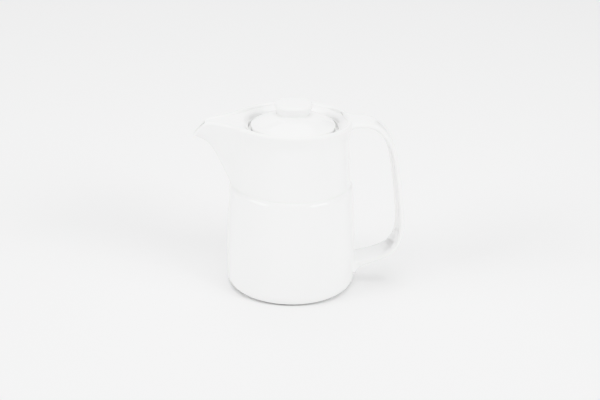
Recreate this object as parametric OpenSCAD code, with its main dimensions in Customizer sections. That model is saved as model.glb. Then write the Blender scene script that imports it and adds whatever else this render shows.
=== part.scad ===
// Porcelain coffee pot: stepped body on a foot ring, beak spout, strap handle and a loose domed lid.
// Millimetres. The pot's axis is Z, the table is z = 0, the handle points to +X and the spout to -X.

/* [Body] */
// Largest radius of the lower body
lower_r = 52; // [51:0.5:54]
// Radius of the lower body just under the step
shoulder_r = 50; // [49.5:0.1:50.5]
// Radius of the upper body at the step
upper_r = 47.2; // [46.8:0.1:47.6]
// Radius of the upper body at the rim
rim_r = 46.2; // [45.8:0.1:46.6]
// Height of the rim above the table
rim_z = 142.6; // [140:0.2:146]
// Height of the crease where the upper body starts
step_z = 88; // [86:0.5:90]
// Wall thickness of the vessel
wall = 3.8; // [3.2:0.1:4.2]

/* [Foot] */
// Outer radius of the ring that the pot stands on
foot_r = 43.5; // [42:0.5:43.5]
// Width of the foot ring
foot_w = 4.5; // [3:0.5:6]
// Height of the foot ring
foot_h = 0.8; // [0.6:0.1:1.5]

/* [Spout] */
// Reach of the pouring tip from the pot's axis
spout_reach = 78.7; // [74:0.5:82]
// Height of the pouring tip above the table
spout_tip_z = 131; // [129:0.5:133]
// Half width of the beak at its tip
spout_tip_w = 5; // [4.5:0.1:6.5]
// Wall thickness of the beak
spout_wall = 3.4; // [2.8:0.1:3.6]

/* [Handle] */
// Width of the strap at the grip
handle_w = 24; // [18:0.5:26]
// Thickness of the strap
handle_t = 6.5; // [6:0.25:8]
// Width of the strap where it leaves the rim
handle_root_w = 30; // [26:0.5:34]

/* [Lid] */
// Radius of the lid plate
lid_r = 33.6; // [33:0.1:34]
// Radius of the recess that the lid sits in
seat_r = 36; // [35.6:0.1:36.6]
// Radius of the mouth below the recess
mouth_r = 31; // [30:0.1:31.5]
// Depth of the recess under its upper edge
seat_depth = 2.8; // [2.4:0.1:3.4]
// Rise of the lid's dome
dome_rise = 9.9; // [8:0.1:12]
// Depth of the ring under the lid
skirt_h = 10.5; // [6:0.5:16]
// Radius of the knob
knob_r = 15.4; // [14.6:0.1:17]
// Height of the knob
knob_h = 9.5; // [8:0.1:12]

/* [Hidden] */
$fn = 96;
porcelain = [0.95, 0.95, 0.94];
bare_clay = [0.90, 0.88, 0.84];
arc_steps = 6;
overcut = 1;

// Outer wall: a foot corner, a shallow belly, a soft step and a slightly tapered upper part
belly_z = 36;
belly_first_z = 16;
belly_last_z = 76;
belly_pitch = 10;
foot_corner = 8;
shoulder_round = 2;
shoulder_turn = 60;
shoulder_drop = 2;
shoulder_z = step_z - shoulder_drop - shoulder_round;
rim_round = wall / 2;

// Inner side of the wall and the floor
floor_t = 4;
floor_z = foot_h + floor_t;
floor_corner = 8;
floor_top_z = floor_z + floor_corner;
step_slope = 6;
inner_last_z = 22;

// Ring that carries the lid: dished top, recess, ledge and mouth
dish_low = 6.2;
dish_mid = 4;
dish_high = 2.8;
seat_chamfer = 0.8;
seat_ring_r = rim_r - wall;
seat_edge_z = rim_z - dish_low;
seat_ring_top_z = rim_z - dish_high;
ledge_z = seat_edge_z - seat_depth;
ledge_t = 4;
under_slope = 1;

// Cover that closes the beak from the ring to just behind the tip
cover_back = 9.2;
cover_end = spout_reach - cover_back;
cover_drop = 1.5;
cover_t = 3.6;
cover_z = rim_z - cover_drop - cover_t;

// Lid: plate with a domed top over a hollow underside
plate_edge_h = 4.8;
plate_round = 1;
plate_round_turn = 70;
plate_t = 4.6;
under_drop = 0.8;
dome_pitch = 3;
skirt_gap = 0.8;
skirt_w = 3.6;
skirt_r = mouth_r - skirt_gap;
hollow_r = skirt_r - skirt_w;

// Knob: a low puck on a flat spot of the plate, a little wider at its rounded top edge, with a low crown
knob_seat_r = 13.4;
knob_foot_r = 13;
knob_edge = 2.2;
knob_edge_from = -20;
knob_edge_to = 80;
knob_crown = 0.5;

// Beak: its keel leaves the wall at a steady slope and flares out close to the tip
keel_drop = 2;
keel_tip_back = 1.7;
keel_tip_drop = 2.4;
keel_z = step_z - keel_drop;
keel_reach = spout_reach - keel_tip_back - upper_r;
keel_rise = spout_tip_z - keel_tip_drop - keel_z;
keel_straight = 0.7;
keel_flare = 8;
beak_root_w = 24;
beak_spread = 38;
beak_curve = 1.8;
beak_steps = 14;
beak_sides = 16;
beak_bowl = 2.2;
beak_past_tip = 1.06;
beak_start = 36;
beak_over = 10;
lip_back = 10;

// Handle: points on the strap's middle line, from inside the rim to inside the lower wall
strap_z = rim_z - 3.6;
handle_route = [[40, strap_z], [50, strap_z + 0.4], [60, strap_z], [69, strap_z - 4], [76, strap_z - 12.5],
                [81, strap_z - 25.5], [85, 94], [88.2, 71], [89.8, 53], [88, 38.5], [80.5, 29], [69, 23.4],
                [57, 20], [46, 17]];
handle_foot_w = 26;
handle_root_share = 0.2;
handle_foot_share = 0.3;
handle_steps = 3;
handle_sides = 16;
heading_step = 0.05;

function arc(x, z, r, from, to, n = arc_steps) =
    [for (i = [0:n]) let (a = from + (to - from) * i / n) [x + r * cos(a), z + r * sin(a)]];
function belly_r(z) = lower_r - (lower_r - shoulder_r) * pow((z - belly_z) / (shoulder_z - belly_z), 2);
function dome_z(r) = ledge_z + plate_edge_h + dome_rise * (1 - pow(r / lid_r, 2));

// Outer outline of the vessel, from the foot corner up to the middle of the rim
corner_z = foot_h + foot_corner;
outer_wall = concat(
    arc(belly_r(corner_z) - foot_corner, corner_z, foot_corner, -90, 0),
    [for (z = [belly_first_z:belly_pitch:belly_last_z]) [belly_r(z), z]],
    arc(shoulder_r - shoulder_round, shoulder_z, shoulder_round, 0, shoulder_turn),
    [[upper_r, step_z]],
    arc(rim_r - rim_round, rim_z - rim_round, rim_round, 0, 90)
);

// Inner outline, from the middle of the rim down to the floor
inner_wall = concat(
    arc(rim_r - rim_round, rim_z - rim_round, rim_round, 90, 180),
    [[seat_ring_r, ledge_z - ledge_t - under_slope]],
    [[upper_r - wall, ledge_z - ledge_t - step_slope]],
    [[upper_r - wall, step_z]],
    [for (z = [step_z - step_slope:-belly_pitch:inner_last_z]) [belly_r(z) - wall, z]],
    arc(belly_r(floor_top_z) - wall - floor_corner, floor_top_z, floor_corner, 0, -90),
    [[0, floor_z]]
);

// Everything inside the vessel's outer wall, open upwards inside the rim
module pot_envelope() {
    above = rim_z + 2 * beak_over;
    rotate_extrude()
        polygon(concat([[0, foot_h]], outer_wall, [[rim_r - rim_round, above], [0, above]]));
}

// Closed solid through a list of rings that all have the same number of points
module loft(rings) {
    n = len(rings[0]);
    last = len(rings) - 1;
    sides = [for (i = [0:last - 1], j = [0:n - 1])
        let (k = (j + 1) % n)
        each [[i * n + j, i * n + k, (i + 1) * n + k], [i * n + j, (i + 1) * n + k, (i + 1) * n + j]]];
    start = [for (j = [n - 2:-1:1]) [0, j + 1, j]];
    end = [for (j = [1:n - 2]) [last * n, last * n + j, last * n + j + 1]];
    polyhedron([for (ring = rings) each ring], concat(sides, start, end), convexity = 6);
}

// Cross-section of the beak: a deep bowl from its keel up to the rim, at one distance from the axis
function keel(u) = [upper_r + keel_reach * (keel_straight * u + (1 - keel_straight) * pow(u, keel_flare)),
                    keel_z + keel_rise * u];
function beak_w(x) =
    let (back = max(spout_reach - x, 0) / beak_spread)
    spout_tip_w + (beak_root_w - spout_tip_w) * pow(back, beak_curve);
function beak_ring(x, z, w) = concat(
    [[-x, -w, rim_z + beak_over]],
    [for (j = [0:beak_sides])
        let (s = 2 * j / beak_sides - 1)
        [-x, w * s, z + (rim_z - z) * pow(abs(s), beak_bowl)]],
    [[-x, w, rim_z + beak_over]]
);

// The beak as a full shape from inside the pot to past its tip, drawn in by a wall thickness for its channel
module beak(inset, start_x) {
    spots = [for (i = [0:beak_steps]) keel(beak_past_tip * i / beak_steps)];
    loft(concat(
        [beak_ring(start_x, keel_z, beak_w(start_x + inset) - inset)],
        [for (p = spots) beak_ring(p[0] - inset, p[1], beak_w(p[0]) - inset)]
    ));
}

// What is cut off the beak: all above the rim, and its slanted end down to the tip
module lip_cut() {
    depth = 3 * beak_root_w;
    lip_x = spout_reach - lip_back;
    slope = (rim_z - spout_tip_z) / lip_back;
    far = lip_x + 3 * lip_back;
    above = rim_z + 2 * beak_over;
    rotate([90, 0, 0])
        linear_extrude(height = depth, center = true)
            polygon([
                [0, rim_z],
                [-lip_x, rim_z],
                [-far, rim_z - slope * (far - lip_x)],
                [-far, above],
                [0, above]
            ]);
}

// Smooth curve through the handle's points, and its direction
function spline(p, q, r, s, t) =
    let (bend = 2 * p - 5 * q + 4 * r - s, twist = 3 * q - p - 3 * r + s)
    (2 * q + (r - p) * t + bend * t * t + twist * t * t * t) / 2;
function route_at(i, t) =
    let (h = handle_route, last = len(h) - 1)
    spline(h[max(i - 1, 0)], h[i], h[i + 1], h[min(i + 2, last)], t);
function handle_half_w(share) =
    let (
        root = max(1 - share / handle_root_share, 0),
        foot = max(1 - (1 - share) / handle_foot_share, 0)
    )
    (handle_w + (handle_root_w - handle_w) * root * root + (handle_foot_w - handle_w) * foot * foot) / 2;

module pot_body() {
    color(porcelain)
        difference() {
            rotate_extrude() polygon(concat([[0, foot_h]], outer_wall, inner_wall));
            beak(spout_wall, beak_start);
        }
}

module foot_ring() {
    color(bare_clay)
        difference() {
            cylinder(r = foot_r, h = foot_h);
            translate([0, 0, -overcut]) cylinder(r = foot_r - foot_w, h = foot_h + 2 * overcut);
        }
}

// Level slab that fills the beak's channel under the lip, from the ring to the mouth of the beak
module beak_cover() {
    difference() {
        intersection() {
            beak(spout_wall, beak_start);
            translate([-cover_end, -beak_root_w, cover_z]) cube([cover_end, 2 * beak_root_w, cover_t]);
        }
        cylinder(r = seat_ring_r - overcut, h = 2 * rim_z);
    }
}

module lid_seat() {
    dish_r = (seat_r + seat_chamfer + seat_ring_r) / 2;
    color(porcelain)
        union() {
            rotate_extrude()
                polygon([
                    [mouth_r, ledge_z],
                    [seat_r, ledge_z],
                    [seat_r, seat_edge_z - seat_chamfer],
                    [seat_r + seat_chamfer, seat_edge_z],
                    [dish_r, rim_z - dish_mid],
                    [seat_ring_r, seat_ring_top_z],
                    [seat_ring_r, ledge_z - ledge_t - under_slope],
                    [mouth_r, ledge_z - ledge_t]
                ]);
            beak_cover();
        }
}

module spout() {
    color(porcelain)
        difference() {
            beak(0, beak_start);
            beak(spout_wall, beak_start - overcut);
            pot_envelope();
            lip_cut();
        }
}

module handle() {
    spans = len(handle_route) - 1;
    count = spans * handle_steps;
    rings = [for (k = [0:count])
        let (
            i = min(floor(k / handle_steps), spans - 1),
            t = k / handle_steps - i,
            p = route_at(i, t),
            along = route_at(i, min(t + heading_step, 1)) - route_at(i, max(t - heading_step, 0)),
            side = [-along[1], along[0]] / norm(along),
            half_w = handle_half_w(k / count)
        )
        [for (j = [0:handle_sides - 1])
            let (a = 360 * j / handle_sides, out = handle_t / 2 * cos(a))
            [p[0] + side[0] * out, half_w * sin(a), p[1] + side[1] * out]]];
    color(porcelain)
        difference() {
            loft(rings);
            pot_envelope();
        }
}

module lid_plate() {
    edge_z = ledge_z + plate_edge_h;
    under_z = dome_z(knob_seat_r) - plate_t;
    top_start = lid_r - plate_round;
    dome_last_r = knob_seat_r + dome_pitch / 2;
    color(porcelain)
        rotate_extrude()
            polygon(concat(
                [[0, under_z], [hollow_r / 2, under_z - under_drop], [hollow_r, ledge_z], [lid_r, ledge_z]],
                arc(top_start, edge_z - plate_round, plate_round, 0, plate_round_turn),
                [for (r = [top_start - dome_pitch / 2:-dome_pitch:dome_last_r]) [r, dome_z(r)]],
                [[knob_seat_r, dome_z(knob_seat_r)], [0, dome_z(knob_seat_r)]]
            ));
}

module lid_skirt() {
    color(porcelain)
        translate([0, 0, ledge_z - skirt_h])
            difference() {
                cylinder(r = skirt_r, h = skirt_h);
                translate([0, 0, -overcut]) cylinder(r = hollow_r, h = skirt_h + 2 * overcut);
            }
}

module lid_knob() {
    base = dome_z(knob_seat_r);
    top = base + knob_h;
    edge_z = top - knob_crown - knob_edge;
    color(porcelain)
        rotate_extrude()
            polygon(concat(
                [[0, base], [knob_foot_r, base]],
                arc(knob_r - knob_edge, edge_z, knob_edge, knob_edge_from, knob_edge_to),
                [[knob_r / 2, top - knob_crown / 4], [0, top]]
            ));
}

pot_body();
foot_ring();
lid_seat();
spout();
handle();
lid_plate();
lid_skirt();
lid_knob();
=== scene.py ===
import bpy
import numpy as np
from mathutils import Matrix, Vector


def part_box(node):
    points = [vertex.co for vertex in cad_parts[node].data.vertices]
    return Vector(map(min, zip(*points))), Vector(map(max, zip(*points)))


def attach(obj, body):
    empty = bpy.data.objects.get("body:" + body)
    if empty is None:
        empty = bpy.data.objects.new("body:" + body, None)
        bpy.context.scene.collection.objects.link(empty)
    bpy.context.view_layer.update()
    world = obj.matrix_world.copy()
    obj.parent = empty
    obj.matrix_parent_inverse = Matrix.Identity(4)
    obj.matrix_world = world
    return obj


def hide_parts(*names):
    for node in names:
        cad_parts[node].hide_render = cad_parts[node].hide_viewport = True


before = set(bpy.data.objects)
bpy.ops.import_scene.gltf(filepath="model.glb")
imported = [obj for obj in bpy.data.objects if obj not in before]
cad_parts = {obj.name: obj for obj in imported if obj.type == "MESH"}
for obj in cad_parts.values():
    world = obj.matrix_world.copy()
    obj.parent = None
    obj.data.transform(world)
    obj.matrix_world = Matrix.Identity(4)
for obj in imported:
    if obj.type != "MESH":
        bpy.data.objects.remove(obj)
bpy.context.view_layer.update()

# Viewpoint: a long lens a little above the pot, with the spout turned slightly towards it and the whole
# frame tipped by about a degree.
mm = 0.001
image_w_px = 600
focal_px = 1150
sensor_w = 36.0
look_down = np.radians(22.1)
look_turn = np.radians(-5.0)
look_tilt = np.radians(1.2)
stand_off = 870 * mm
stand_height = 426 * mm
stand_aside = 6.7 * mm
to_pot = np.array([-np.sin(look_turn), np.cos(look_turn), 0.0])
level = np.array([np.cos(look_turn), np.sin(look_turn), 0.0])
ahead = to_pot * np.cos(look_down) - np.array([0.0, 0.0, np.sin(look_down)])
above = np.cross(level, ahead)
camera_right = level * np.cos(look_tilt) + above * np.sin(look_tilt)
camera_up = above * np.cos(look_tilt) - level * np.sin(look_tilt)
eye = level * stand_aside - to_pot * stand_off + np.array([0.0, 0.0, stand_height])
camera = bpy.data.objects.new("camera", bpy.data.cameras.new("camera"))
camera.data.sensor_width = sensor_w
camera.data.lens = sensor_w * focal_px / image_w_px
turned = np.eye(4)
turned[:3] = np.stack([camera_right, camera_up, -ahead, eye], -1)
camera.matrix_world = Matrix(turned.tolist())
bpy.context.scene.collection.objects.link(camera)
bpy.context.scene.camera = camera

# Studio: a wide pale sheet under the pot and a dim white room. Two soft boxes in front, on either side of
# the lens, give the bright streaks on the step and the two faint shadows. Wide ones hang overhead and
# behind, and a small one near the lens fills the front.
floor_half = 6.0
floor_mesh = bpy.data.meshes.new("studio_floor")
corners = [(-floor_half, -floor_half, 0), (floor_half, -floor_half, 0), (floor_half, floor_half, 0),
           (-floor_half, floor_half, 0)]
floor_mesh.from_pydata(corners, [], [(0, 1, 2, 3)])
floor = bpy.data.objects.new("studio_floor", floor_mesh)
bpy.context.scene.collection.objects.link(floor)
paper = bpy.data.materials.new("studio_paper")
paper.use_nodes = True
paper_shader = paper.node_tree.nodes["Principled BSDF"]
paper_shader.inputs["Base Color"].default_value = (0.9, 0.9, 0.9, 1)
paper_shader.inputs["Roughness"].default_value = 0.9
paper_shader.inputs["Specular IOR Level"].default_value = 0.1
floor_mesh.materials.append(paper)

room = bpy.data.worlds.new("white_room")
room.use_nodes = True
room.node_tree.nodes["Background"].inputs["Color"].default_value = (1, 1, 1, 1)
room.node_tree.nodes["Background"].inputs["Strength"].default_value = 0.24
bpy.context.scene.world = room
bpy.context.scene.view_settings.view_transform = "Khronos PBR Neutral"

aim = Vector((0, 0, 0.06))
front_distance = 5.4
front_size = (3.6, 2.0)
boxes = [
    ("soft_box_top", Vector((0, 0.5, 2.5)), (2.0, 2.0), 28.0),
    ("soft_box_back", Vector((0, 3.4, 1.5)), (3.0, 3.0), 26.0),
    ("soft_box_near", Vector((0, -0.5, 0.9)), (0.5, 0.5), 2.2),
]
for box_name, box_turn, box_height, box_watts in (
    ("soft_box_left", -65, 2.54, 198.0),
    ("soft_box_right", 55, 2.9, 222.0),
):
    bearing = look_turn + np.radians(box_turn)
    place = Vector((front_distance * np.sin(bearing), -front_distance * np.cos(bearing), box_height))
    boxes.append((box_name, place, front_size, box_watts))
for box_name, place, box_size, box_watts in boxes:
    soft_box = bpy.data.objects.new(box_name, bpy.data.lights.new(box_name, "AREA"))
    soft_box.data.shape = "RECTANGLE"
    soft_box.data.size, soft_box.data.size_y = box_size
    soft_box.data.energy = box_watts
    soft_box.location = place
    soft_box.rotation_euler = (place - aim).to_track_quat("Z", "Y").to_euler()
    bpy.context.scene.collection.objects.link(soft_box)

# Pot: the vessel and its beak come out of one mould as a single skin of white porcelain. It has a shallow
# belly on a rounded foot corner, a soft step, a slightly tapered neck and a rolled rim that runs out into
# the pouring lip.
body_low, body_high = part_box("pot_body")
spout_low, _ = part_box("spout")
belly_swell = 0.6 * mm
lower_r = body_high.x + belly_swell
shoulder_r = 49.9 * mm
upper_r = 47.2 * mm
waist_r = 44.5 * mm
flare_z = 131 * mm
flare_slope = 0.32
flare_soft = 3 * mm
rim_z = body_high.z
base_z = body_low.z
wall = 3.8 * mm
roll = wall / 2
belly_z = 26 * mm
shoulder_z = 83.6 * mm
shoulder_round = 8 * mm
shoulder_turn = 42
crease_round = 1.2 * mm
corner_w = 7.6 * mm
corner_h = 9.2 * mm


def arc(r, z, radius, start, stop, steps):
    """Points (r, z) on a circle of that radius about (r, z), from one angle to another in degrees."""
    turn = np.radians(np.linspace(start, stop, steps))
    return np.stack([r + radius * np.cos(turn), z + radius * np.sin(turn)], -1)


def belly(z):
    """Radius of the lower wall: largest at the belly and smaller by the square of the height from it."""
    return lower_r - (lower_r - shoulder_r) * ((z - belly_z) / (shoulder_z - belly_z)) ** 2


def smooth_max(a, b, soften):
    """The larger of two values, rounded off over about that difference between them."""
    return (a + b + np.sqrt((a - b) ** 2 + soften ** 2)) / 2


corner_z = base_z + corner_h
wall_lean = np.arctan(2 * (lower_r - shoulder_r) / (shoulder_z - belly_z))
shoulder = arc(
    shoulder_r - shoulder_round * np.cos(wall_lean), shoulder_z - shoulder_round * np.sin(wall_lean),
    shoulder_round, np.degrees(wall_lean), shoulder_turn, 12,
)
slant = np.radians(shoulder_turn)
crease_z = shoulder[-1, 1] + (shoulder[-1, 0] - upper_r) / np.tan(slant) + crease_round * np.tan(slant / 2)
belly_zs = np.linspace(corner_z, shoulder_z, 46)[1:-1]
neck_zs = np.linspace(crease_z, rim_z - roll, 44)[1:]
neck_way = (neck_zs - crease_z) / (rim_z - roll - crease_z)
flared = (neck_zs - flare_z + np.sqrt((neck_zs - flare_z) ** 2 + flare_soft ** 2)) / 2
neck_rs = upper_r + (waist_r - upper_r) * neck_way + flare_slope * flared
rim_r = neck_rs[-1]
outer = np.concatenate([
    arc(0, 0, 1, -90, 0, 18) * (corner_w, corner_h) + (belly(corner_z) - corner_w, corner_z),
    np.stack([belly(belly_zs), belly_zs], -1),
    shoulder,
    arc(upper_r + crease_round, crease_z, crease_round, 180 + shoulder_turn, 180, 9),
    np.stack([neck_rs, neck_zs], -1),
])

# The beak's keel leaves the neck at a steady slope and flares out near the tip. Its sides narrow on the way.
tip_short = 0.8 * mm
keel_short = 1.7 * mm
tip_x = -spout_low.x - tip_short
keel_z = 86 * mm
keel_reach = tip_x - keel_short - upper_r
keel_rise = 42.6 * mm
keel_straight = 0.7
keel_flare = 12
beak_tip_w = 5 * mm
beak_root_w = 24 * mm
beak_spread = 38 * mm
beak_curve = 1.8
beak_widest = 1.05
beak_bowl = 2.2
beak_wall = 2.8 * mm
beak_fillet = 5 * mm
lip_back = 10 * mm
lip_slope = 1.16
lip_round = 2.5 * mm
keel_u = np.linspace(-2, 1.15, 400)
axis_gap = 1 * mm
widest_angle = 1.5

# Glaze pools in hollows. Full depth comes at this curvature per metre and is spread over some rows.
full_hollow = 500.0
hollow_spread = 4
shortest_step = 1e-6


def keel_x(u):
    """Distance of the keel from the axis at a share u of its rise: a straight slope plus a late flare."""
    return upper_r + keel_reach * (keel_straight * u + (1 - keel_straight) * np.maximum(u, 0) ** keel_flare)


def beak_radius(angle, z, thick):
    """Distance from the axis to the beak's skin at an angle off the spout's middle and at a height.

    At a distance x the beak is a bowl: half as wide as a power of the way left to the tip, rising from its
    keel to the rim as a power of the side step. Halving finds the x at which the ray at this angle leaves
    that bowl.
    """
    near = np.full_like(z, axis_gap)
    far = keel_x((z - keel_z) / keel_rise) - thick
    for _ in range(40):
        x = (near + far) / 2
        keel = np.interp(x + thick, keel_x(keel_u), keel_z + keel_rise * keel_u)
        left = np.clip((tip_x - x - thick) / beak_spread, 0, beak_widest)
        half_w = beak_tip_w + (beak_root_w - beak_tip_w) * left ** beak_curve - thick
        share = np.clip((z - keel) / (rim_z - keel), 0, 1) ** (1 / beak_bowl)
        inside = half_w * share > x * np.tan(np.minimum(np.abs(angle), widest_angle))
        near = np.where(inside, x, near)
        far = np.where(inside, far, x)
    return near / np.cos(np.minimum(np.abs(angle), widest_angle))


def skin_radius(angle, z, profile, thick):
    """Radius of the pot's skin: the round wall or the beak, whichever lies further out, softly filleted."""
    return smooth_max(np.interp(z, profile[:, 1], profile[:, 0]), beak_radius(angle, z, thick), beak_fillet)


def lip_height(x):
    """Height of the rim at a distance x towards the spout: level, then slanting down to the tip."""
    drop = lip_slope * (x - tip_x + lip_back)
    return rim_z - (drop + np.sqrt(drop ** 2 + lip_round ** 2)) / 2


def lip_start(angle, profile, thick):
    """Height at which a skin reaches the rounded lip, found by halving for each angle."""
    low = np.full_like(angle, keel_z)
    high = np.full_like(angle, rim_z)
    for _ in range(40):
        z = (low + high) / 2
        under = z < lip_height(skin_radius(angle, z, profile, thick) * np.cos(angle)) - roll
        low = np.where(under, z, low)
        high = np.where(under, high, z)
    return low


def hollowness(grid, closed):
    """How hollow a skin is at each point, from -1 on sharp edges over 0 on flats to 1 in tight creases.

    Along rows and along columns, the change of direction from one step to the next over the step's length
    is a curvature. Their parts along the normal are added, squeezed into the range and evened out from row
    to row.
    """
    bends = []
    slopes = []
    for axis in (0, 1):
        ahead = np.roll(grid, -1, axis) - grid
        if axis == 0 and not closed:
            ahead[-1] = ahead[-2]
        behind = np.roll(ahead, 1, axis)
        if axis == 0 and not closed:
            behind[0] = ahead[0]
        ahead_run = np.maximum(np.linalg.norm(ahead, axis=-1, keepdims=True), shortest_step)
        behind_run = np.maximum(np.linalg.norm(behind, axis=-1, keepdims=True), shortest_step)
        bends.append((ahead / ahead_run - behind / behind_run) * 2 / (ahead_run + behind_run))
        slopes.append(ahead / ahead_run + behind / behind_run)
    normal = np.cross(slopes[1], slopes[0])
    normal /= np.maximum(np.linalg.norm(normal, axis=-1, keepdims=True), shortest_step)
    hollow = np.tanh(np.einsum("ijk,ijk->ij", bends[0] + bends[1], normal) / full_hollow)
    for _ in range(hollow_spread):
        hollow = (np.roll(hollow, 1, 0) + 2 * hollow + np.roll(hollow, -1, 0)) / 4
    return hollow


def add_skin(name, grid, poles=None):
    """Mesh over grid[row, column] whose columns close on themselves: quads from row to row, facing outwards.

    With two pole points the first and last row are closed by a fan of triangles, without them the last row
    joins the first as in a ring. The attribute glaze_depth holds how hollow the skin is at each point.
    """
    rows, columns = grid.shape[:2]
    index = np.arange(rows * columns).reshape(rows, columns)
    points = grid.reshape(-1, 3)
    depth = hollowness(grid, poles is None)
    if poles is None:
        index = np.vstack([index, index[:1]])
    beside = np.roll(index, -1, axis=1)
    quads = np.stack([index[:-1], beside[:-1], beside[1:], index[1:]], -1).reshape(-1, 4)
    fans = np.zeros((0, 3), dtype=int)
    if poles is not None:
        points = np.vstack([points, poles])
        first = np.full(columns, rows * columns)
        start_fan = np.stack([beside[0], index[0], first], -1)
        end_fan = np.stack([index[-1], beside[-1], first + 1], -1)
        fans = np.vstack([start_fan, end_fan])
    a, b, c = points[np.vstack([quads[:, [0, 1, 2]], quads[:, [0, 2, 3]], fans])].transpose(1, 0, 2)
    if np.einsum("ij,ij", a, np.cross(b, c)) < 0:
        quads = quads[:, ::-1]
        fans = fans[:, ::-1]
        depth = -depth
    mesh = bpy.data.meshes.new(name)
    mesh.from_pydata(points.tolist(), [], quads.tolist() + fans.tolist())
    mesh.shade_smooth()
    hollow = np.zeros(len(points), dtype=np.float32)
    hollow[:depth.size] = depth.ravel()
    mesh.attributes.new("glaze_depth", "FLOAT", "POINT").data.foreach_set("value", hollow)
    piece = bpy.data.objects.new(name, mesh)
    bpy.context.scene.collection.objects.link(piece)
    return piece


floor_t = 4 * mm
floor_z = base_z + floor_t
floor_corner = 8 * mm
under_in = 0.4 * mm
pole_share = 0.05
seat_under_z = 128.6 * mm
seat_slope_h = 5 * mm
inner_step_z = 88 * mm
step_slope_h = 6 * mm
rim_inner_zs = np.linspace(rim_z - roll, seat_under_z, 12)
neck_inner_zs = np.linspace(seat_under_z - seat_slope_h, inner_step_z, 24)
belly_inner_zs = np.linspace(inner_step_z - step_slope_h, floor_z + floor_corner, 24)
inner = np.concatenate([
    np.stack([np.full_like(rim_inner_zs, rim_r - wall), rim_inner_zs], -1),
    np.stack([np.full_like(neck_inner_zs, upper_r - wall), neck_inner_zs], -1),
    np.stack([belly(belly_inner_zs) - wall, belly_inner_zs], -1),
])

# Columns stand at even steps along the rim as seen from above, so that the beak gets its share of them.
below_rim = 4 * mm
column_count = 400
rim_angles = np.linspace(-np.pi, np.pi, 4001)
rim_level = np.full_like(rim_angles, rim_z - below_rim)
rim_line = skin_radius(rim_angles, rim_level, outer, 0.0)
rim_points = np.stack([rim_line * np.cos(rim_angles), rim_line * np.sin(rim_angles)], -1)
rim_run = np.concatenate([[0.0], np.cumsum(np.linalg.norm(np.diff(rim_points, axis=0), axis=1))])
angles = np.interp(np.arange(column_count) * rim_run[-1] / column_count, rim_run, rim_angles)

outer_top = lip_start(angles, outer, 0.0)
inner_top = lip_start(angles, inner[::-1], beak_wall)


def stretch(zs, tops):
    """Rows of heights for every column: unchanged below the neck, drawn in above it to the column's lip."""
    share = np.clip((zs[:, None] - crease_z) / (rim_z - roll - crease_z), 0, None)
    return zs[:, None] + share * (tops - rim_z + roll)[None]


def turned_out(r, z):
    """Points at radius r and height z for every column, with the spout's middle towards -X."""
    return np.stack(np.broadcast_arrays(-r * np.cos(angles), r * np.sin(angles), z), -1)


outer_z = stretch(outer[:, 1], outer_top)
outer_r = skin_radius(angles[None] + np.zeros_like(outer_z), outer_z, outer, 0.0)
inner_z = stretch(inner[:, 1], inner_top)
inner_r = skin_radius(angles[None] + np.zeros_like(inner_z), inner_z, inner[::-1], beak_wall)
across = np.linspace(0, np.pi, 13)[1:-1, None]
lip_r = outer_r[-1] + (inner_r[0] - outer_r[-1]) * (1 - np.cos(across)) / 2
lip_z = lip_height(lip_r * np.cos(angles)) - roll * (1 - np.sin(across))
under_r = np.linspace(pole_share, 1, 8)[:, None] * (outer[0, 0] - under_in)
floor_arc = arc(inner[-1, 0] - floor_corner, floor_z + floor_corner, floor_corner, 0, -90, 10)[1:]
floor_r = np.linspace(1 - pole_share, pole_share, 8)[:, None] * floor_arc[-1, 0]
pot = add_skin("pot", np.concatenate([
    turned_out(under_r, np.full_like(under_r, base_z)),
    turned_out(outer_r, outer_z),
    turned_out(lip_r, lip_z),
    turned_out(inner_r, inner_z),
    turned_out(floor_arc[:, :1], floor_arc[:, 1:]),
    turned_out(floor_r, np.full_like(floor_r, floor_z)),
]), [(0, 0, base_z), (0, 0, floor_z)])
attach(pot, "pot")
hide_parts("pot_body", "spout")

# A Mix node has sockets for every kind of value; these are the places of those for colours.
mix_first = 6
mix_second = 7
mix_result = 2


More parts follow.
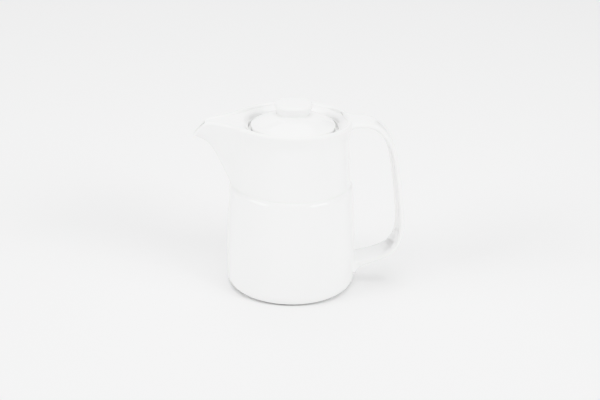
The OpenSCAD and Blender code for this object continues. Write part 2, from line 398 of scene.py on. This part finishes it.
def fired_surface():
    """Node group for fired clay and glaze: slow clouds of colour, finer grain in roughness and relief."""
    group = bpy.data.node_groups.new("fired_surface", "ShaderNodeTree")
    for name in ("Tone", "Drift"):
        group.interface.new_socket(name, in_out="INPUT", socket_type="NodeSocketColor")
    for name in ("Cloud Scale", "Grain Scale", "Smoothest", "Roughest"):
        group.interface.new_socket(name, in_out="INPUT", socket_type="NodeSocketFloat")
    group.interface.new_socket("Color", in_out="OUTPUT", socket_type="NodeSocketColor")
    for name in ("Roughness", "Height"):
        group.interface.new_socket(name, in_out="OUTPUT", socket_type="NodeSocketFloat")
    nodes = group.nodes
    given = nodes.new("NodeGroupInput").outputs
    result = nodes.new("NodeGroupOutput").inputs
    spot = nodes.new("ShaderNodeTexCoord").outputs["Object"]
    clouds = nodes.new("ShaderNodeTexNoise")
    clouds.inputs["Detail"].default_value = 3
    grain = nodes.new("ShaderNodeTexNoise")
    grain.inputs["Detail"].default_value = 4
    blend = nodes.new("ShaderNodeMix")
    blend.data_type = "RGBA"
    gloss = nodes.new("ShaderNodeMapRange")
    gloss.inputs["From Min"].default_value = 0.3
    gloss.inputs["From Max"].default_value = 0.7
    for start, end in (
        (spot, clouds.inputs["Vector"]),
        (spot, grain.inputs["Vector"]),
        (given["Cloud Scale"], clouds.inputs["Scale"]),
        (given["Grain Scale"], grain.inputs["Scale"]),
        (clouds.outputs["Fac"], blend.inputs[0]),
        (given["Tone"], blend.inputs[mix_first]),
        (given["Drift"], blend.inputs[mix_second]),
        (grain.outputs["Fac"], gloss.inputs["Value"]),
        (given["Smoothest"], gloss.inputs["To Min"]),
        (given["Roughest"], gloss.inputs["To Max"]),
        (blend.outputs[mix_result], result["Color"]),
        (gloss.outputs["Result"], result["Roughness"]),
        (grain.outputs["Fac"], result["Height"]),
    ):
        group.links.new(start, end)
    return group


def fired_material(name, surface, values, relief):
    """Material on the fired_surface group with its own values, returned with the group's node and shader."""
    material = bpy.data.materials.new(name)
    material.use_nodes = True
    nodes = material.node_tree.nodes
    links = material.node_tree.links
    shader = nodes["Principled BSDF"]
    fired = nodes.new("ShaderNodeGroup")
    fired.node_tree = surface
    for socket, value in values.items():
        fired.inputs[socket].default_value = value
    bump = nodes.new("ShaderNodeBump")
    bump.inputs["Strength"].default_value = relief
    bump.inputs["Distance"].default_value = 1 * mm
    links.new(fired.outputs["Color"], shader.inputs["Base Color"])
    links.new(fired.outputs["Roughness"], shader.inputs["Roughness"])
    links.new(fired.outputs["Height"], bump.inputs["Height"])
    links.new(bump.outputs["Normal"], shader.inputs["Normal"])
    return material, fired, shader


surface = fired_surface()
glaze, glaze_fired, glaze_shader = fired_material("clear_glaze", surface, {
    "Tone": (0.885, 0.885, 0.885, 1),
    "Drift": (0.862, 0.864, 0.862, 1),
    "Cloud Scale": 28,
    "Grain Scale": 160,
    "Smoothest": 0.06,
    "Roughest": 0.1,
}, 0.02)
glaze_depth = glaze.node_tree.nodes.new("ShaderNodeAttribute")
glaze_depth.attribute_name = "glaze_depth"
centred = glaze.node_tree.nodes.new("ShaderNodeMapRange")
centred.inputs["From Min"].default_value = -1
pooled = glaze.node_tree.nodes.new("ShaderNodeValToRGB")
pooled.color_ramp.elements[0].color = (1, 0.998, 0.994, 1)
pooled.color_ramp.elements[1].color = (0.925, 0.932, 0.918, 1)
pooled.color_ramp.elements.new(0.5).color = (0.975, 0.975, 0.975, 1)
tinted = glaze.node_tree.nodes.new("ShaderNodeMix")
tinted.data_type = "RGBA"
tinted.blend_type = "MULTIPLY"
tinted.inputs[0].default_value = 1
for start, end in (
    (glaze_depth.outputs["Fac"], centred.inputs["Value"]),
    (centred.outputs["Result"], pooled.inputs["Fac"]),
    (glaze_fired.outputs["Color"], tinted.inputs[mix_first]),
    (pooled.outputs["Color"], tinted.inputs[mix_second]),
    (tinted.outputs[mix_result], glaze_shader.inputs["Base Color"]),
):
    glaze.node_tree.links.new(start, end)
pot.data.materials.append(glaze)

# Lid seat: the ring inside the rim that carries the lid. It is part of the same casting: a dished
# gallery, a wall, a level ledge and the round mouth. Over the beak it goes on as a level cover, and
# coffee passes below both.
seat_low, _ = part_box("lid_seat")
plate_low, plate_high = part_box("lid_plate")
seat_r = 36 * mm
mouth_r = 31 * mm
ledge_z = plate_low.z
ledge_t = 4 * mm
ledge_round = 0.6 * mm
mouth_round = 1 * mm
seat_corner = 0.5 * mm
seat_edge_z = 136.4 * mm
seat_edge_round = 1.2 * mm
gallery_rise = 5 * mm
gallery_run = 5 * mm
ring_r = 42.4 * mm
sunk_in = 0.9 * mm
cover_end = 70 * mm
cover_t = 3.6 * mm
cover_round = 1.2 * mm
cover_below = 0.9 * mm
cover_level = seat_edge_z + gallery_rise - 0.5 * mm
ring_foot = 1 * mm
gallery_crowding = 1.5
least_cos = 0.1

# The gallery runs out to the wall all round. Over the beak it ends short of the tip.
seat_angles = np.linspace(-np.pi, np.pi, 640, endpoint=False)
inside_r = skin_radius(seat_angles, np.full_like(seat_angles, cover_level), inner[::-1], beak_wall)
mouth_away = cover_end / np.maximum(np.cos(seat_angles), least_cos)
out_r = np.minimum(inside_r + sunk_in, mouth_away)


def gallery_height(r):
    """Height of the gallery and the cover: steep at the seat's edge, levelling out, kept under the lip."""
    share = 1 - np.exp(-np.maximum(r - seat_r - seat_edge_round, 0) / gallery_run)
    return np.minimum(seat_edge_z + gallery_rise * share, lip_height(r * np.cos(seat_angles)) - cover_below)


def seat_section():
    """Outline (r, z) of the ring at every angle, in rows of points.

    It runs from its foot inwards under the ledge, up the mouth and the seat, over the gallery and the cover,
    round its edge and back along its underside to the ring.
    """
    fixed = np.concatenate([
        np.linspace([seat_r, seat_low.z], [mouth_r + mouth_round, ledge_z - ledge_t], 9),
        arc(mouth_r + mouth_round, ledge_z - ledge_t + mouth_round, mouth_round, -90, -180, 6)[1:],
        arc(mouth_r + ledge_round, ledge_z - ledge_round, ledge_round, 180, 90, 6),
        np.linspace([mouth_r + 2.5 * ledge_round, ledge_z], [seat_r - 2 * seat_corner, ledge_z], 5),
        arc(seat_r - seat_corner, ledge_z + seat_corner, seat_corner, -90, 0, 5),
        arc(seat_r + seat_edge_round, seat_edge_z - seat_edge_round, seat_edge_round, 180, 120, 8),
    ])
    way = np.linspace(0, 1, 30)[1:, None] ** gallery_crowding
    start_r = fixed[-1, 0]
    gallery_r = start_r + (out_r - cover_round - start_r) * way
    gallery_z = gallery_height(gallery_r)
    turn = np.radians(np.linspace(80, 0, 7))[:, None]
    edge_z = gallery_z[-1] - cover_round
    round_r = out_r - cover_round + cover_round * np.cos(turn)
    round_z = edge_z + cover_round * np.sin(turn)
    back = np.linspace(0, 1, 6)[:, None]
    under_r = out_r + (np.minimum(ring_r, out_r) - out_r) * back
    under_z = np.repeat((gallery_z[-1] - cover_t)[None], 6, 0)
    wall_r = np.repeat(np.minimum(ring_r, out_r)[None], 3, 0)
    wall_z = under_z[-1] + (seat_low.z + ring_foot - under_z[-1]) * np.linspace(0.3, 1, 3)[:, None]
    rs = [np.repeat(fixed[:, :1], len(seat_angles), 1), gallery_r, round_r, under_r, wall_r]
    zs = [np.repeat(fixed[:, 1:], len(seat_angles), 1), gallery_z, round_z, under_z, wall_z]
    return np.concatenate(rs), np.concatenate(zs)


section_r, section_z = seat_section()
seat_ring = add_skin("lid_seat_ring", np.stack([
    -section_r * np.cos(seat_angles),
    section_r * np.sin(seat_angles),
    section_z,
], -1))
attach(seat_ring, "pot")
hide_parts("lid_seat")
seat_ring.data.materials.append(glaze)

# Foot: the low ring under the floor, well inside the rounded corner, wiped free of glaze before firing so
# that the pot doesn't stick to the kiln shelf. Bare fired porcelain, ground flat where it stands.
foot_low, foot_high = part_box("foot_ring")
foot_r = foot_high.x
foot_w = 4.5 * mm
foot_round = 0.7 * mm
foot_bevel = 0.5 * mm
foot_top_z = base_z + 0.3 * mm


def revolve(name, outline, poles=None, steps=288):
    """Solid of revolution about the pot's axis from an outline of (r, z) points."""
    turn = np.linspace(0, 2 * np.pi, steps, endpoint=False)
    r, z = outline[:, :1], outline[:, 1:]
    grid = np.stack(np.broadcast_arrays(r * np.cos(turn), r * np.sin(turn), z), -1)
    return add_skin(name, grid, poles)


foot = revolve("foot", np.concatenate([
    arc(foot_r - foot_round, foot_low.z + foot_round, foot_round, 0, -90, 6),
    arc(foot_r - foot_w + foot_round, foot_low.z + foot_round, foot_round, -90, -180, 6),
    [[foot_r - foot_w, foot_top_z], [foot_r - foot_bevel, foot_top_z], [foot_r, base_z]],
]))
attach(foot, "pot")
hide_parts("foot_ring")
bisque, _, bisque_shader = fired_material("bare_porcelain", surface, {
    "Tone": (0.83, 0.81, 0.77, 1),
    "Drift": (0.70, 0.67, 0.61, 1),
    "Cloud Scale": 120,
    "Grain Scale": 2600,
    "Smoothest": 0.6,
    "Roughest": 0.9,
}, 0.35)
bisque_shader.inputs["Specular IOR Level"].default_value = 0.3
foot.data.materials.append(bisque)

# Handle: a strap pulled or pressed from the same clay, stuck on with slip at the rim and above the foot,
# where it spreads into the wall. Its top runs level out of the rim.
strap_w = 12 * mm
strap_t = 3 * mm
strap_soft = 2.8
root_w = 15 * mm
root_run = 15 * mm
foot_half_w = 13 * mm
foot_run = 30 * mm
root_fillet = 4.5 * mm
foot_spread = 6 * mm
foot_spread_run = 15 * mm
hug_run = 9 * mm
handle_sunk = np.array([-2 * mm, 0, 0])
route = np.array([
    (46.5, 139.6), (52, 139.9), (59, 139.5), (66, 137.3), (73, 131.0), (78, 122.6),
    (81.6, 111.5), (84.2, 98.6), (86.5, 84), (88.2, 71), (89.7, 57), (89.7, 46.5),
    (87.3, 37), (81.8, 29.8), (74.5, 25.4), (66, 22.5), (57.5, 20.6), (52.4, 19.2),
]) * mm


def spline(points, per_span):
    """Smooth curve through points: cubic pieces whose bends match where they join and vanish at both ends."""
    n = len(points)
    system = np.eye(n) * 4 + np.eye(n, k=1) + np.eye(n, k=-1)
    system[0] = np.eye(n)[0]
    system[-1] = np.eye(n)[-1]
    pull = np.zeros_like(points)
    pull[1:-1] = 6 * (points[2:] - 2 * points[1:-1] + points[:-2])
    bend = np.linalg.solve(system, pull)
    t = np.arange((n - 1) * per_span + 1) / per_span
    i = np.minimum(t.astype(int), n - 2)
    b = (t - i)[:, None]
    a = 1 - b
    return a * points[i] + b * points[i + 1] + ((a ** 3 - a) * bend[i] + (b ** 3 - b) * bend[i + 1]) / 6


strap = spline(route, 12)
strap_run = np.concatenate([[0.0], np.cumsum(np.linalg.norm(np.diff(strap, axis=0), axis=1))])
from_root = strap_run[:, None]
from_foot = (strap_run[-1] - strap_run)[:, None]
heading = np.gradient(strap, axis=0)
heading /= np.linalg.norm(heading, axis=1, keepdims=True)
outward = np.stack([-heading[:, 1], heading[:, 0]], -1)


def fillet(distance, radius):
    """Extra size of a strap close to the wall, as a quarter circle that ends flush with the wall."""
    left = np.clip(radius - distance, 0, radius)
    return radius - np.sqrt(radius ** 2 - left ** 2)


turn = np.linspace(0, 2 * np.pi, 56, endpoint=False)[None]
side = np.sign(np.cos(turn)) * np.abs(np.cos(turn)) ** (2 / strap_soft)
over = np.sign(np.sin(turn)) * np.abs(np.sin(turn)) ** (2 / strap_soft)
half_w = strap_w + (root_w - strap_w) * np.exp(-(from_root / root_run) ** 2)
half_w = half_w + (foot_half_w - strap_w) * np.exp(-(from_foot / foot_run) ** 2)
half_w = half_w + fillet(from_root, root_fillet) + fillet(from_foot, root_fillet)
top_t = strap_t + foot_spread * np.clip(1 - from_foot / foot_spread_run, 0, 1) ** 2
low_t = strap_t + fillet(from_root, root_fillet) + fillet(from_foot, root_fillet)
lift = np.where(over > 0, top_t, low_t) * over
strap_x = strap[:, :1] + outward[:, :1] * lift
strap_y = half_w * side
strap_z = strap[:, 1:] + outward[:, 1:] * lift


def wall_x(y, z):
    """How far the pot's wall reaches towards the handle at a side step y and a height z."""
    return np.sqrt(np.interp(z, outer[:, 1], outer[:, 0]) ** 2 - y ** 2)


hug = np.exp(-(np.minimum(from_root, from_foot) / hug_run) ** 2)
strap_x = strap_x + hug * (wall_x(strap_y, strap_z) - wall_x(0 * strap_y, strap[:, 1:]))
rings = np.stack([strap_x, strap_y, strap_z], -1)
rings = np.concatenate([rings[:1] + handle_sunk, rings, rings[-1:] + handle_sunk])
handle = add_skin("handle_strap", rings, [rings[0].mean(0), rings[-1].mean(0)])
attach(handle, "pot")
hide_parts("handle")
handle.data.materials.append(glaze)

# Lid skirt: the plain ring under the lid that keeps it in the mouth when the pot is tipped. It is cast
# with the lid and glazed all over. A hair's breadth is left below the plate, which turns on it here.
skirt_low, skirt_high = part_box("lid_skirt")
skirt_r = skirt_high.x
skirt_w = 3.6 * mm
skirt_round = 1.2 * mm
skirt_top_z = skirt_high.z - 0.05 * mm
skirt = revolve("lid_skirt_ring", np.concatenate([
    [[skirt_r, skirt_top_z]],
    arc(skirt_r - skirt_round, skirt_low.z + skirt_round, skirt_round, 0, -90, 8),
    arc(skirt_r - skirt_w + skirt_round, skirt_low.z + skirt_round, skirt_round, -90, -180, 8),
    [[skirt_r - skirt_w, skirt_top_z]],
]))
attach(skirt, "lid_base")
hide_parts("lid_skirt")
skirt.data.materials.append(glaze)

# Lid plate: a round plate with a shallow dome and a rounded edge, hollow underneath so that it dries and
# fires evenly. It lies on the ledge with a small gap all round, which shows as two dark crescents.
plate_r = plate_high.x
plate_edge_z = 138.4 * mm
plate_round = 0.8 * mm
plate_bevel = 0.6 * mm
dome_rise = 9.9 * mm
hollow_r = skirt_r - skirt_w
hollow_z = 142.4 * mm
axis_r = 0.5 * mm


def dome(r):
    """Height of the lid's top at a radius: a parabola from its middle to its edge."""
    return plate_edge_z + dome_rise * (1 - (r / plate_r) ** 2)


dome_r = np.linspace(plate_r - plate_round, axis_r, 30)
hollow_rs = np.linspace(axis_r, hollow_r, 14)
hollow_zs = hollow_z - (hollow_z - plate_low.z) * (hollow_rs / hollow_r) ** 2
plate = revolve("lid_top_plate", np.concatenate([
    np.stack([hollow_rs, hollow_zs], -1),
    [[plate_r - plate_bevel, plate_low.z], [plate_r, plate_low.z + plate_bevel]],
    arc(plate_r - plate_round, plate_edge_z - plate_round, plate_round, 0, 75, 8),
    np.stack([dome_r, dome(dome_r)], -1)[1:],
]), [(0, 0, hollow_z), (0, 0, dome(0))])
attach(plate, "lid_top")
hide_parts("lid_plate")
plate.data.materials.append(glaze)

# Lid knob: a low wide puck to lift the lid by, a little wider at its rounded top edge so that fingers
# find a hold. It is cast with the lid and faired into its dome.
_, knob_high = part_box("lid_knob")
knob_r = knob_high.x
knob_foot_r = 13 * mm
knob_fillet = 0.8 * mm
side_lean = -20
top_edge = 2.2 * mm
knob_crown = 0.5 * mm
knob_sunk = 0.1 * mm
knob_root = 3 * mm
fillet_turn = 285
fillet_z = dome(knob_foot_r + knob_fillet) + knob_fillet - knob_sunk
crown_r = np.linspace(knob_r - top_edge, axis_r, 16)
crown_z = knob_high.z - knob_crown * (crown_r / crown_r[0]) ** 2
knob = revolve("lid_knob_button", np.concatenate([
    arc(knob_foot_r + knob_fillet, fillet_z, knob_fillet, fillet_turn, 180 + side_lean, 14),
    arc(knob_r - top_edge, crown_z[0] - top_edge, top_edge, side_lean, 85, 14),
    np.stack([crown_r, crown_z], -1)[1:],
]), [(0, 0, dome(0) - knob_root), (0, 0, knob_high.z)])
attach(knob, "lid_top")
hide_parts("lid_knob")
knob.data.materials.append(glaze)
